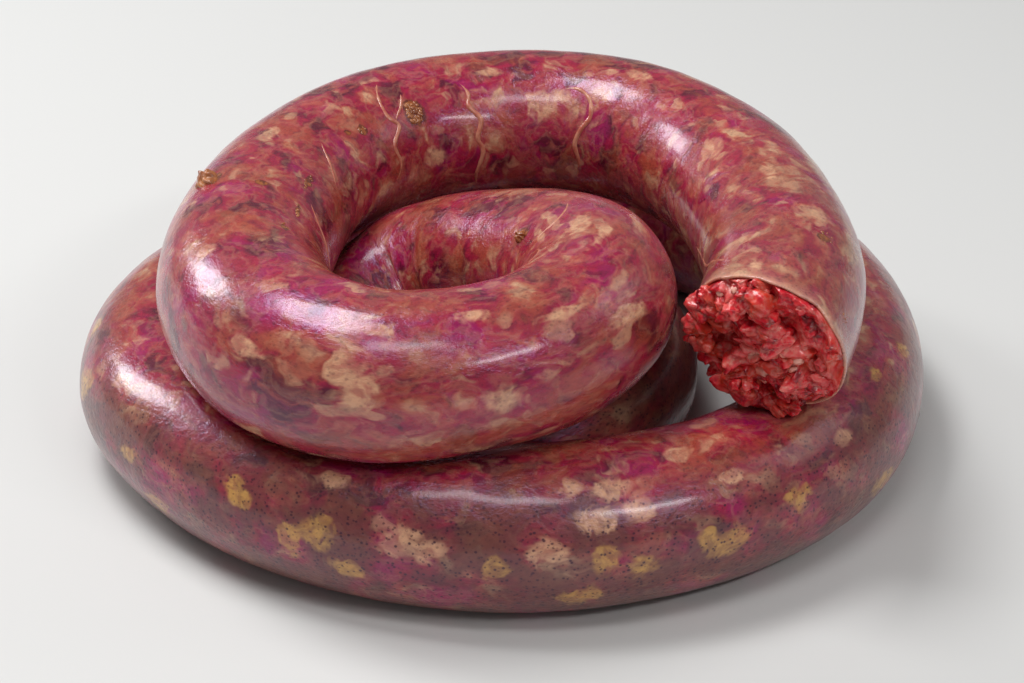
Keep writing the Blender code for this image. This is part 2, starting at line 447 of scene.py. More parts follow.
@dataclass(frozen=True)
class SkinFinish:
    """The wet casing with red meat and pale fat marbled under it."""

    wine: tuple[float, float, float] = (0.125, 0.002, 0.022)
    crimson: tuple[float, float, float] = (0.370, 0.004, 0.048)
    brick: tuple[float, float, float] = (0.400, 0.012, 0.044)
    tan: tuple[float, float, float] = (0.500, 0.092, 0.066)
    cream: tuple[float, float, float] = (0.720, 0.400, 0.230)
    gold: tuple[float, float, float] = (0.640, 0.350, 0.085)
    orange: tuple[float, float, float] = (0.470, 0.090, 0.036)
    magenta: tuple[float, float, float] = (0.350, 0.005, 0.100)
    # A dull brownish film, its colour made dark as painted shade for the ring's low, outer side.
    film_and_shade: tuple[float, float, float] = (0.125, 0.054, 0.036)
    stain: tuple[float, float, float] = (0.380, 0.115, 0.022)

    def _meat(self, s: Shader, bent: bpy.types.NodeSocket) -> bpy.types.NodeSocket:
        """The marbled meat before anything is laid over it.

        Args:
            s: The material's calls.
            bent: Coordinates along the straightened rope, made to wander.

        Returns:
            The colour.
        """
        blood = s.attribute("blood")
        drawn = s.vector("MULTIPLY", bent, (1.0, 1.0, 0.8))
        tone = s.maths("SUBTRACT", s.clouds(drawn, 145.0, 3.0, 0.5), s.maths("MULTIPLY", blood, 0.05))
        meat = s.ramp(tone, (0.34, self.wine), (0.43, self.crimson), (0.525, self.brick), (0.61, self.tan),
                      (0.70, self.cream))
        hue = s.clouds(bent, 90.0, 3.0, 0.6)
        meat = s.mix(s.maths("MULTIPLY", s.step(hue, 0.50, 0.66), 0.65), meat, self.orange)
        meat = s.mix(s.maths("MULTIPLY", s.step(hue, 0.47, 0.34), 0.75), meat, self.magenta)
        fibre = s.clouds(s.vector("MULTIPLY", bent, (1.0, 1.0, 0.35)), 520.0, 4.0, 0.6)
        meat = s.mix(s.maths("MULTIPLY", s.step(fibre, 0.52, 0.70), 0.55), meat, self.tan)
        meat = s.mix(s.maths("MULTIPLY", s.step(fibre, 0.47, 0.28), 0.55), meat, self.wine)
        ridge = s.maths("ABSOLUTE", s.maths("SUBTRACT", s.clouds(drawn, 170.0, 4.0, 0.55), 0.5))
        meat = s.mix(s.maths("MULTIPLY", s.step(ridge, 0.070, 0.0), 0.16), meat, self.cream)
        return meat

    def _bits(self, s: Shader, bent: bpy.types.NodeSocket, colour: bpy.types.NodeSocket) -> bpy.types.NodeSocket:
        """Lays scattered and placed bits of fat over the meat.

        Args:
            s: The material's calls.
            bent: Coordinates along the straightened rope, made to wander.
            colour: The meat.

        Returns:
            The colour with its fat.
        """
        frays = s.maths("SUBTRACT", s.clouds(bent, 330.0, 3.0, 0.55), 0.5)
        short = s.vector("MULTIPLY", bent, (1.0, 1.0, 0.7))
        patchy = s.maths("MULTIPLY", s.step(s.clouds(bent, 260.0, 2.0), 0.34, 0.60), 1.0)
        for scale, share, strength in ((300.0, 0.20, 0.55), (185.0, 0.17, 0.62)):
            pick = s.channel(s.cells(short, scale, "F1", "Color"), "Green")
            away = s.maths("ADD", s.cells(short, scale), s.maths("MULTIPLY", frays, 1.0))
            bit = s.maths("MULTIPLY", s.step(pick, share + 0.02, share - 0.02), s.step(away, 0.55, 0.18))
            bit = s.maths("MULTIPLY", bit, patchy)
            colour = s.mix(s.maths("MULTIPLY", bit, strength), colour, self.cream)
        return colour

    def _marks(self, s: Shader, bent: bpy.types.NodeSocket, colour: bpy.types.NodeSocket) -> bpy.types.NodeSocket:
        """Lays the placed chunks of pale and yellow fat and the brown stains.

        Args:
            s: The material's calls.
            bent: Coordinates along the straightened rope, made to wander.
            colour: The skin under them.

        Returns:
            The colour with its marks.
        """
        frays = s.maths("SUBTRACT", s.clouds(bent, 420.0, 3.0, 0.55), 0.5)
        clumps = s.maths("SUBTRACT", s.clouds(bent, 260.0, 2.0, 0.5), 0.5)
        worn = s.maths("ADD", s.maths("MULTIPLY", s.step(s.clouds(bent, 420.0, 3.0), 0.36, 0.60), 0.55), 0.45)
        for name, paint, share in (("cream", self.cream, 0.84), ("gold", self.gold, 0.84)):
            reach = s.maths("ADD", s.attribute(name), s.maths("MULTIPLY", clumps, 2.0))
            reach = s.maths("ADD", reach, s.maths("MULTIPLY", frays, 0.8))
            spread = s.maths("MULTIPLY", s.step(reach, 1.15, 0.60), worn)
            colour = s.mix(s.maths("MULTIPLY", spread, share), colour, paint)
        reach = s.maths("ADD", s.attribute("stain"), s.maths("MULTIPLY", frays, 1.2))
        rust = s.mix(s.step(s.clouds(bent, 600.0, 3.0), 0.42, 0.58), self.stain, (0.16, 0.040, 0.012))
        rust = s.mix(s.maths("MULTIPLY", s.step(reach, 0.70, 1.00), 0.7), rust, (0.10, 0.014, 0.008))
        return s.mix(s.maths("MULTIPLY", s.step(reach, 1.20, 0.90), 0.95), colour, rust)

    def build(self) -> bpy.types.Material:
        """Makes the skin's material.

        Returns:
            The material, which reads the skin's rope, gold, cream, stain, film, blood and rim.
        """
        s = new_material("casing_skin")
        straight = s.attribute("rope", "Vector")
        wander = s.vector("SUBTRACT", s.clouds(straight, 130.0, 2.0, 0.5, "Color"), (0.5, 0.5, 0.5))
        bent = s.vector("ADD", straight, s.vector("MULTIPLY", wander, (0.008, 0.008, 0.011)))
        colour = self._bits(s, bent, self._meat(s, bent))
        # Painted shade: the dark film colour is laid thickest on the lower ring's outer side, where shade falls.
        film_and_shade = s.attribute("film_and_shade")
        film_and_shade_share = s.maths("MULTIPLY", s.step(s.clouds(straight, 90.0, 4.0, 0.6), 0.26, 0.58), film_and_shade)
        colour = s.mix(s.maths("MULTIPLY", film_and_shade_share, 0.80), colour, self.film_and_shade)
        colour = self._marks(s, bent, colour)
        colour = s.mix(s.maths("MULTIPLY", s.attribute("rim"), 0.7), colour, (0.78, 0.42, 0.28))
        grain = s.clouds(straight, 800.0, 3.0, 0.6)
        colour = s.mix(0.5, colour, s.ramp(grain, (0.34, (0.62, 0.56, 0.60)), (0.62, (1.0, 1.0, 1.0))), "MULTIPLY")
        dots = s.maths("MULTIPLY", s.step(s.cells(straight, 1150.0), 0.42, 0.18), s.step(grain, 0.62, 0.42))
        colour = s.mix(s.maths("MULTIPLY", dots, s.maths("MULTIPLY", film_and_shade, 0.85)), colour, (0.040, 0.008, 0.014))
        smear = s.clouds(straight, 130.0, 4.0, 0.65)
        gloss = s.maths("ADD", s.maths("MULTIPLY", smear, 0.30), s.maths("MULTIPLY", film_and_shade, 0.10))
        gloss = s.maths("ADD", gloss, 0.10)
        # The lavender Specular_Tint paints a lavender colour into the highlights, which the white lamps don't give.
        s.set(Base_Color=colour, Roughness=gloss, Specular_IOR_Level=0.5, Specular_Tint=(0.66, 0.58, 1.0),
              Coat_Weight=0.50, Coat_Roughness=0.15, Subsurface_Weight=0.08, Subsurface_Scale=0.0012,
              Subsurface_Radius=(1.0, 0.35, 0.25))
        fine = s.clouds(s.vector("MULTIPLY", straight, (1.0, 1.0, 0.7)), 1500.0, 2.0, 0.6)
        soft = s.clouds(bent, 300.0, 2.0)
        s.bump(s.maths("ADD", s.maths("MULTIPLY", fine, 0.32), s.maths("MULTIPLY", soft, 0.68)), 0.0005, 0.7)
        return s.material


@dataclass(frozen=True)
class MinceFinish:
    """Moist raw mince, deep red with paler threads."""

    dark: tuple[float, float, float] = (0.220, 0.002, 0.008)
    red: tuple[float, float, float] = (0.640, 0.008, 0.022)
    pink: tuple[float, float, float] = (0.720, 0.105, 0.095)
    fat: tuple[float, float, float] = (0.800, 0.400, 0.310)

    def build(self) -> bpy.types.Material:
        """Makes the mince's material."""
        s = new_material("mince_red")
        where = s.place()
        grain = s.clouds(where, 260.0, 4.0, 0.6)
        colour = s.ramp(grain, (0.36, self.dark), (0.46, self.red), (0.63, self.pink), (0.75, self.fat))
        hue = s.clouds(where, 150.0, 2.0)
        colour = s.mix(s.maths("MULTIPLY", s.step(hue, 0.50, 0.64), 0.5), colour, (0.62, 0.070, 0.020))
        ridge = s.maths("ABSOLUTE", s.maths("SUBTRACT", s.clouds(where, 200.0, 4.0, 0.6), 0.5))
        colour = s.mix(s.maths("MULTIPLY", s.step(ridge, 0.040, 0.0), 0.22), colour, self.fat)
        gloss = s.maths("ADD", s.maths("MULTIPLY", s.clouds(where, 260.0, 3.0), 0.30), 0.20)
        s.set(Base_Color=colour, Roughness=gloss, Specular_IOR_Level=0.3, Coat_Weight=0.6,
              Coat_Roughness=0.06, Subsurface_Weight=0.2, Subsurface_Scale=0.003,
              Subsurface_Radius=(1.0, 0.10, 0.08))
        s.bump(s.clouds(where, 700.0, 2.0, 0.5), 0.0003, 0.45)
        return s.material


@dataclass(frozen=True)
class FatFinish:
    """A pale moist solid: fat, vein or shred of casing.

    Attributes:
        name: The material's name.
        pale: Its lighter colour.
        warm: Its deeper colour.
        see_through: Subsurface share.
    """

    name: str = "fat_pale"
    pale: tuple[float, float, float] = (0.78, 0.38, 0.30)
    warm: tuple[float, float, float] = (0.68, 0.17, 0.12)
    see_through: float = 0.18

    def build(self) -> bpy.types.Material:
        """Makes the fat's material."""
        s = new_material(self.name)
        where = s.place()
        colour = s.mix(s.step(s.clouds(where, 300.0, 3.0), 0.35, 0.65), self.pale, self.warm)
        gloss = s.maths("ADD", s.maths("MULTIPLY", s.clouds(where, 200.0), 0.25), 0.2)
        s.set(Base_Color=colour, Roughness=gloss, Coat_Weight=0.4, Coat_Roughness=0.15,
              Subsurface_Weight=self.see_through, Subsurface_Scale=0.002, Subsurface_Radius=(1.0, 0.5, 0.4))
        s.bump(s.clouds(where, 700.0, 3.0), 0.0004, 0.4)
        return s.material


@dataclass
class Piece:
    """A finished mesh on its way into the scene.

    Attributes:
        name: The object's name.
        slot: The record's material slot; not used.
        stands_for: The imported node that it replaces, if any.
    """

    name: str
    slot: str
    stands_for: str = ""

    def add(self, shape: bmesh.types.BMesh, material: bpy.types.Material) -> bpy.types.Object:
        """Puts a mesh in the scene, smooth, riding on the root body.

        Args:
            shape: The mesh in metres, which is freed.
            material: Its finish.

        Returns:
            The new object.
        """
        mesh = bpy.data.meshes.new(self.name)
        shape.to_mesh(mesh)
        shape.free()
        mesh.shade_smooth()
        mesh.materials.append(material)
        made = bpy.data.objects.new(self.name, mesh)
        bpy.context.scene.collection.objects.link(made)
        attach(made, "root")
        if self.stands_for:
            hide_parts(self.stands_for)
        LOG.info("%s: %d triangles", self.name, sum(len(f.vertices) - 2 for f in mesh.polygons))
        return made


def sheet_grid(rows: int, sides: int) -> tuple[bpy.types.Mesh, np.ndarray, np.ndarray]:
    """A flat grid to be wound into a tube.

    Args:
        rows: Number of rings.
        sides: Corners of a ring.

    Returns:
        The mesh, and each vertex's ring and its corner, which runs from 0 to sides.
    """
    shape = bmesh.new()
    bmesh.ops.create_grid(shape, x_segments=rows - 1, y_segments=sides, size=0.5)
    mesh = bpy.data.meshes.new("wound")
    shape.to_mesh(mesh)
    shape.free()
    flat = np.empty(len(mesh.vertices) * 3)
    mesh.vertices.foreach_get("co", flat)
    flat = flat.reshape(-1, 3)
    ring = np.rint((flat[:, 0] + 0.5) * (rows - 1)).astype(int)
    corner = np.rint((flat[:, 1] + 0.5) * sides).astype(int)
    return mesh, ring, corner


def wound(rings: np.ndarray, layers: dict[str, np.ndarray] | None = None) -> bmesh.types.BMesh:
    """Winds a grid into a closed tube through rings of points.

    Args:
        rings: Rows x sides x 3 points in mm; a row at one point becomes a pole.
        layers: Values to carry as attributes, rows x sides, or rows x sides x 3.

    Returns:
        The mesh in metres, its seam and poles merged and its faces outwards.
    """
    rows, sides = rings.shape[:2]
    mesh, ring, corner = sheet_grid(rows, sides)
    corner %= sides
    mesh.vertices.foreach_set("co", (rings[ring, corner] * MM).astype(np.float32).ravel())
    for name, values in (layers or {}).items():
        kind = "FLOAT_VECTOR" if values.ndim == 3 else "FLOAT"
        layer = mesh.attributes.new(name, kind, "POINT")
        layer.data.foreach_set("vector" if values.ndim == 3 else "value", values[ring, corner].ravel())
    shape = bmesh.new()
    shape.from_mesh(mesh)
    bpy.data.meshes.remove(mesh)
    bmesh.ops.remove_doubles(shape, verts=shape.verts, dist=1e-7)
    bmesh.ops.recalc_face_normals(shape, faces=shape.faces)
    return shape


@dataclass
class Skin:
    """The casing: the whole rope's outside, turned in over itself at each cut.

    Attributes:
        rope: The centreline that it follows.
        sides: Corners round it.
        wall: How thick its rim looks, in mm.
        touch: Clearance where two turns press together, in mm.
        soft: How gently a pressed flat runs out, in mm.
        apart: Places closer than this along the rope don't press on each other.
        slant: How far the upper edge of the top cut stands forward, per mm of height.
        skew: How far its outer edge stands forward, per mm of width.
        slant_run: Length over which both fade in, in mm.
    """

    rope: Rope
    spine: Rope
    sides: int = 92
    wall: float = 0.7
    touch: float = 0.6
    soft: float = 0.5
    apart: float = 58.0
    slant: float = 0.28
    skew: float = 0.30
    slant_run: float = 26.0
    rings: np.ndarray = field(init=False)

    def _shape(self, along: np.ndarray, turn: np.ndarray) -> np.ndarray:
        """How far the skin stands out of or sinks into the even tube, in mm.

        Args:
            along: Places along the rope, one per ring.
            turn: Angles round it.

        Returns:
            Rings x sides heights.
        """
        rope = self.rope
        straight = self.straight(along, turn).reshape(-1, 3)
        swell = ripple(straight * (1, 1, 0.5), 21.0, 3.1).reshape(len(along), -1)
        chunks = ripple(straight * (1, 1, 0.7), 6.5, 8.7, 2).reshape(len(along), -1)
        tight = np.linalg.norm(rope.bend, axis=1) * rope.radius
        inward = np.einsum("rc,rc->r", rope.bend, rope.side) / np.maximum(np.linalg.norm(rope.bend, axis=1), 1e-9)
        upward = np.einsum("rc,rc->r", rope.bend, rope.up) / np.maximum(np.linalg.norm(rope.bend, axis=1), 1e-9)
        facing = np.cos(turn)[None] * inward[:, None] + np.sin(turn)[None] * upward[:, None]
        hold = fade(along, 640, 590) + 0.45 * fade(along, 640, 700)
        pleat = (fade(tight, 0.42, 0.85) * hold)[:, None] * fade(facing, 0.1, 0.95)
        sway = ripple(straight * (1, 1, 0.2), 9.0, 1.3).reshape(len(along), -1)
        folds = np.abs(np.sin(along[:, None] * math.pi / 4.6 + 1.6 * sway)) ** 0.6 - 0.6
        fine = np.abs(np.sin(along[:, None] * math.pi / 1.9 + 2.5 * sway)) - 0.6
        return -0.38 + 0.34 * swell + 0.10 * chunks + pleat * (1.15 * folds + 0.22 * fine - 0.3)

    def straight(self, along: np.ndarray, turn: np.ndarray) -> np.ndarray:
        """Points of the skin as if the rope were pulled straight along Z, in mm."""
        girth = 17.0
        flat = np.empty((len(along), len(turn), 3))
        flat[..., 0] = girth * np.cos(turn)[None]
        flat[..., 1] = girth * np.sin(turn)[None]
        flat[..., 2] = along[:, None]
        return flat

    def _press(self, points: np.ndarray, row: int) -> np.ndarray:
        """Moves one ring's points out of the turns it lies against.

        Args:
            points: The ring's points.
            row: Its place in the rope.

        Returns:
            The points, flattened where two turns touch.
        """
        centre, radius = self.rope.centre[row], self.rope.radius[row]
        offset = self.spine.centre - centre
        distance = np.linalg.norm(offset, axis=1)
        near = np.abs(self.spine.along - self.rope.along[row]) > self.apart
        near &= distance < radius + self.spine.radius + 5.0
        if not near.any():
            return points
        normal = offset[near] / distance[near, None]
        flat = (distance[near] ** 2 + radius**2 - self.spine.radius[near] ** 2) / (2 * distance[near])
        for _ in range(3):
            depth = (points - centre) @ normal.T - (flat - self.touch / 2)[None, :]
            worst = depth.argmax(axis=1)
            step = self.soft * np.logaddexp(0.0, depth[np.arange(len(points)), worst] / self.soft)
            points = points - normal[worst] * np.where(step > 1e-3, step, 0.0)[:, None]
        return points

    def ragged(self, turn: np.ndarray, seed: float) -> np.ndarray:
        """How far the cut rim stands forward at each angle, in mm."""
        ring = np.stack([np.cos(turn) * 9.0, np.sin(turn) * 9.0, np.full(len(turn), seed)], axis=1)
        return 1.1 * ripple(ring, 6.0, seed, 3)

    def _outside(self) -> np.ndarray:
        """The outer surface as rings of points, from the tail to the top cut."""
        rope = self.rope
        turn = 2 * math.pi * np.arange(self.sides) / self.sides
        stand = self._shape(rope.along, turn)
        rings = np.empty((rope.samples, self.sides, 3))
        for row in range(rope.samples):
            reach = (rope.radius[row] + stand[row])[:, None]
            around = np.cos(turn)[:, None] * rope.side[row] + np.sin(turn)[:, None] * rope.up[row]
            points = self._press(rope.centre[row] + reach * around, row)
            points[:, 2] = np.maximum(points[:, 2], 0.02)
            near_end = np.clip(1.0 - (rope.length - rope.along[row]) / self.slant_run, 0.0, 1.0)
            tip = self.slant * rope.up[row] - self.skew * rope.side[row]
            lean = near_end * ((points - rope.centre[row]) @ tip)
            front = math.exp(-(rope.length - rope.along[row]) / 5.0)
            back = math.exp(-rope.along[row] / 5.0)
            lean += front * (self.ragged(turn, 4.2) - 1.2 - 3.2 * fade(np.cos(turn - math.radians(-50)), 0.3, 1.0))
            lean += back * (self.ragged(turn, 9.4) + 0.8)
            rings[row] = points + lean[:, None] * rope.tangent[row]
        return rings

    def _turned_in(self, rings: np.ndarray, last: bool) -> tuple[np.ndarray, list[float]]:
        """Rings that roll the rim inwards at one end, from the rim to a hidden pole.

        Args:
            rings: The outer surface.
            last: Whether this is the top cut rather than the tail.

        Returns:
            The rings, and how far along the rope each lies.
        """
        row = -1 if last else 0
        rim, centre = rings[row], self.rope.centre[row]
        inward = self.rope.tangent[row] * (-1.0 if last else 1.0)
        arms = rim - centre
        arms = arms / np.linalg.norm(arms, axis=1, keepdims=True)
        made = []
        for inset, back in ((0.12, -0.18), (0.35, -0.26), (0.58, -0.18), (self.wall, 0.05), (0.85, 1.2), (1.0, 4.0)):
            made.append(rim - arms * inset + inward * back)
        made.append(np.broadcast_to(centre + inward * 6.0, rim.shape))
        places = [float(self.rope.along[row])] * len(made)
        return np.array(made), places

    def build(self, finish: SkinFinish) -> bpy.types.Object:
        """Makes the casing.

        Args:
            finish: Its finish.

        Returns:
            The casing's object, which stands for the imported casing.
        """
        self.rings = self._outside()
        tail, tail_at = self._turned_in(self.rings, False)
        head, head_at = self._turned_in(self.rings, True)
        rings = np.concatenate([tail[::-1], self.rings, head])
        along = np.concatenate([tail_at, self.rope.along, head_at])
        turn = 2 * math.pi * np.arange(self.sides) / self.sides
        degrees = np.broadcast_to(np.degrees(turn)[None], rings.shape[:2])
        place = np.broadcast_to(along[:, None], rings.shape[:2])
        rim = np.maximum(np.exp(-(self.rope.length - place) / 1.6), np.exp(-place / 1.6))
        layers = {
            "rope": self.straight(along, turn) * MM,
            "gold": Marks.GOLD.field(place, degrees, 17.0),
            "cream": Marks.CREAM.field(place, degrees, 17.0),
            "stain": Marks.STAIN.field(place, degrees, 17.0),
            "film_and_shade": self._film_and_shade(place, degrees),
            "blood": self._blood(place, degrees),
            "rim": rim,
        }
        shape = wound(rings, layers)
        return Piece("casing_skin", "casing", "casing").add(shape, finish.build())

    @staticmethod
    def _film_and_shade(along: np.ndarray, degrees: np.ndarray) -> np.ndarray:
        """Where a dull brownish film lies over the meat, its colour made dark as painted shade: the lower ring's
        outer side, most where it faces out and down, and the top right.
        """
        # Painted shade on the lower ring's outer, downward side.
        low = fade(along, 440, 400) * fade(np.cos(np.radians(degrees - 200)), -0.15, 0.8)
        right = fade(along, 1035, 1085) * 0.35
        inner = fade(along, 440, 480) * fade(along, 610, 590) * 0.7
        top = fade(along, 740, 770) * fade(along, 860, 830) * fade(np.cos(np.radians(degrees - 120)), 0.4, 1.0)
        return np.clip(0.22 + 0.78 * low + 0.5 * right + inner + 0.15 * top, 0.0, 1.0)

    @staticmethod
    def _blood(along: np.ndarray, degrees: np.ndarray) -> np.ndarray:
        """Where the meat is deepest red: the left and back of the top turn, its front below, the climb."""
        back = fade(along, 815, 855) * fade(along, 1065, 1025)
        below = fade(along, 725, 755) * fade(along, 855, 825) * fade(np.cos(np.radians(degrees - 195)), 0.2, 0.9)
        climb = fade(along, 600, 640) * fade(along, 725, 700)
        ring = fade(along, 185, 215) * fade(along, 310, 280) * fade(np.cos(np.radians(degrees - 112)), 0.4, 0.9)
        pale = fade(along, 1030, 1075)
        return np.clip(0.7 * back + below + climb + ring - 0.9 * pale, -1.0, 1.0)

    def point(self, along: float, degrees: float, lift: float) -> Vector:
        """A point on the skin.

        Args:
            along: Place along the rope in mm.
            degrees: Angle round it.
            lift: Height over the skin in mm.

        Returns:
            The point in mm.
        """
        across = degrees % 360.0 / 360.0 * self.sides
        down = float(np.clip(along / self.rope.length, 0.0, 1.0)) * (self.rope.samples - 1)
        row, corner = min(int(down), self.rope.samples - 2), int(across)
        u, v = down - row, across - corner
        near = self.rings[[row, row + 1]][:, [corner % self.sides, (corner + 1) % self.sides]]
        spot = (near[0, 0] * (1 - v) + near[0, 1] * v) * (1 - u) + (near[1, 0] * (1 - v) + near[1, 1] * v) * u
        return Vector(spot + unit(spot - self.rope.centre[row]) * lift)


class Cut(Enum):
    """The two open ends of the rope."""

    TOP = "top"
    TAIL = "tail"


@dataclass
class CutFace:
    """The mince that shows at one cut: a rough face, loose lumps, bits of fat and shreds of casing.

    Attributes:
        skin: The casing that it fills.
        cut: Which end this is.
        steps: Rings from the middle of the face to its edge.
        sides: Corners of a ring.
        seed: Seed of the scatter.
        lumps: How many rounded lumps lie on it.
        shreds: How many thin shreds.
        flecks: How many bits of fat.
        pits: The top cut's hollows: across, up, depth and spread, in mm.
        hanging: Lumps hanging over the top cut's torn edge: across, up and radius, in mm.
    """

    skin: Skin
    cut: Cut
    steps: int = 64
    sides: int = 150
    seed: int = 11
    lumps: int = 74
    shreds: int = 44
    flecks: int = 26
    pits: tuple[tuple[float, float, float, float], ...] = (
        (7.5, -1.0, 6.5, 10.0), (5.5, 6.5, 4.0, 7.0), (-1.0, -10.5, 5.0, 8.0), (1.5, 2.5, 3.0, 6.0), (-6.0, 8.0, 3.0, 9.0),
    )
    hanging: tuple[tuple[float, float, float], ...] = (
        (14.6, 5.5, 2.9), (15.2, 1.5, 2.7), (14.4, -2.5, 3.0), (12.6, -6.5, 3.1), (10.2, -9.8, 3.0),
        (6.8, -12.8, 2.8), (3.0, -14.6, 2.6), (-1.5, -15.2, 2.4), (12.2, 9.0, 2.2), (-5.0, -14.6, 2.2),
    )

    def __post_init__(self) -> None:
        """Finds the cut's frame."""
        rope = self.skin.rope
        row = rope.samples - 1 if self.cut is Cut.TOP else 0
        forward = 1.0 if self.cut is Cut.TOP else -1.0
        self.out = rope.tangent[row] * forward
        self.side, self.up = rope.side[row], rope.up[row]
        self.rim = self.skin.rings[row]
        self.middle = rope.centre[row]
        self.radius = float(rope.radius[row]) - 0.95
        top = self.cut is Cut.TOP
        self.lean = np.array([-self.skin.skew, self.skin.slant]) if top else np.zeros(2)
        self.random = random.Random(self.seed)

    def height(self, x: np.ndarray, y: np.ndarray) -> np.ndarray:
        """How far the torn face stands out at each place on it, in mm."""
        flat = np.stack([x, y, np.full(x.shape, 3.0 * self.seed)], axis=-1).reshape(-1, 3)
        coarse = ripple(flat, 8.5, 2.0, 2)
        torn = np.abs(ripple(flat, 6.5, 5.0, 2))
        crumbs = np.abs(ripple(flat, 2.2, 7.0, 3))
        reach = np.hypot(flat[:, 0], flat[:, 1]) / self.radius
        dome = (2.4 if self.cut is Cut.TOP else 0.6) * (1.0 - reach**2)
        rise = dome + 2.6 * coarse + 3.0 * (0.42 - torn) - 0.9 * crumbs
        if self.cut is Cut.TAIL:
            return (0.45 * rise - 1.6).reshape(x.shape)
        for across, over, deep, wide in self.pits:
            rise -= deep * np.exp(-((flat[:, 0] - across) ** 2 + (flat[:, 1] - over) ** 2) / wide)
        return rise.reshape(x.shape)

    def at(self, x: float, y: float, out: float) -> Vector:
        """A point by its place on the face and its height over the cut's plane, in mm."""
        lean = float(self.lean @ (x, y))
        return Vector(self.middle + self.side * x + self.up * y + self.out * (out + lean))

    def _face(self) -> bmesh.types.BMesh:
        """The rough face with a short wall behind it, closed inside the rope."""
        turn = 2 * math.pi * np.arange(self.sides) / self.sides
        rings = []
        for step in range(self.steps + 1):
            share = (step / self.steps) ** 0.8
            x = np.cos(turn) * self.radius * share
            y = np.sin(turn) * self.radius * share
            rise = self.height(x, y) if step else np.full(self.sides, self.height(np.zeros(1), np.zeros(1))[0])
            lean = self.lean[0] * x + self.lean[1] * y
            rings.append(self.middle + x[:, None] * self.side + y[:, None] * self.up
                         + (rise + lean)[:, None] * self.out)
        for back in (-3.0, -7.0):
            x, y = np.cos(turn) * self.radius * 0.985, np.sin(turn) * self.radius * 0.985
            rings.append(self.middle + x[:, None] * self.side + y[:, None] * self.up
                         + (back + self.lean[0] * x + self.lean[1] * y)[:, None] * self.out)
        rings.append(np.broadcast_to(self.middle - self.out * 7.0, rings[0].shape))
        return wound(np.array(rings))

    def _scatter(self, count: int, size: tuple[float, float], stretch: float, roughness: float,
                 sunk: float, detail: int) -> bmesh.types.BMesh:
        """Loose lumps pressed into the face.

        Args:
            count: How many.
            size: Smallest and largest radius in mm.
            stretch: How much longer than wide they may be.
            roughness: Depth of their dents, as a share of their radius.
            sunk: How deep they sit, as a share of their radius.
            detail: Subdivisions of each.

        Returns:
            One mesh of all the lumps, in metres.
        """
        shape = bmesh.new()
        margin = 1.1 if self.cut is Cut.TOP else 1.6 * stretch
        for _ in range(count):
            radius = self.random.uniform(*size)
            reach = (self.radius - radius * margin) * math.sqrt(self.random.random())
            angle = self.random.uniform(0, 2 * math.pi)
            x, y = reach * math.cos(angle), reach * math.sin(angle)
            rise = float(self.height(np.array([x]), np.array([y]))[0])
            self._lump(shape, self.at(x, y, rise - radius * sunk), radius, stretch, roughness, detail)
        bmesh.ops.recalc_face_normals(shape, faces=shape.faces)
        return shape

    def _lump(self, shape: bmesh.types.BMesh, spot: Vector, radius: float, stretch: float, roughness: float,
              detail: int) -> None:
        """Adds one dented lump, turned at random.

        Args:
            shape: The mesh that it joins.
            spot: Its middle in mm.
            radius: Its radius in mm.
            stretch: How much longer than wide it may be.
            roughness: Depth of its dents, as a share of its radius.
            detail: Subdivisions.
        """
        made = bmesh.ops.create_icosphere(shape, subdivisions=detail, radius=radius)["verts"]
        turn = Matrix.Rotation(self.random.uniform(0, 6.28), 3, "Z") @ Matrix.Rotation(
            self.random.uniform(-0.9, 0.9), 3, "X") @ Matrix.Rotation(self.random.uniform(0, 6.28), 3, "Z")
        long = self.random.uniform(1.0, stretch)
        bow = self.random.uniform(-0.3, 0.3)
        drift = Vector((self.random.uniform(0, 50), 1.0, 2.0))
        for vert in made:
            dent = 1.0 + roughness * noise.noise(vert.co / radius * 1.3 + drift)
            dent += 0.32 * roughness * noise.noise(vert.co / radius * 2.9 + drift)
            dent += 0.10 * roughness * noise.noise(vert.co / radius * 7.0 + drift)
            co = Vector((vert.co.x * long, vert.co.y, vert.co.z * 0.85)) * dent
            co.y += bow * co.x * co.x / radius
            vert.co = (spot + turn @ co) * MM

    def build(self, mince: bpy.types.Material, fat: bpy.types.Material) -> None:
        """Makes the face, its lumps and its bits of fat.

        Args:
            mince: Finish of the meat.
            fat: Finish of the fat.
        """
        name = self.cut.value
        Piece(f"mince_face_{name}", "mince", "filling").add(self._face(), mince)
        lumps = self._scatter(self.lumps, (1.3, 3.2), 1.9, 0.46, 0.40, 4)
        if self.cut is Cut.TOP:
            for x, y, radius in self.hanging:
                self._lump(lumps, self.at(x, y, self.random.uniform(-0.5, 1.2)), radius, 1.5, 0.6, 4)
            bmesh.ops.recalc_face_normals(lumps, faces=lumps.faces)
        Piece(f"mince_lumps_{name}", "mince", "filling").add(lumps, mince)
        shreds = self._scatter(self.shreds, (0.6, 1.2), 2.8, 0.3, 0.35, 3)
        Piece(f"mince_shreds_{name}", "mince", "filling").add(shreds, mince)
        flecks = self._scatter(self.flecks, (0.6, 1.4), 2.2, 0.35, 0.35, 3)
        Piece(f"fat_bits_{name}", "mince", "filling").add(flecks, fat)


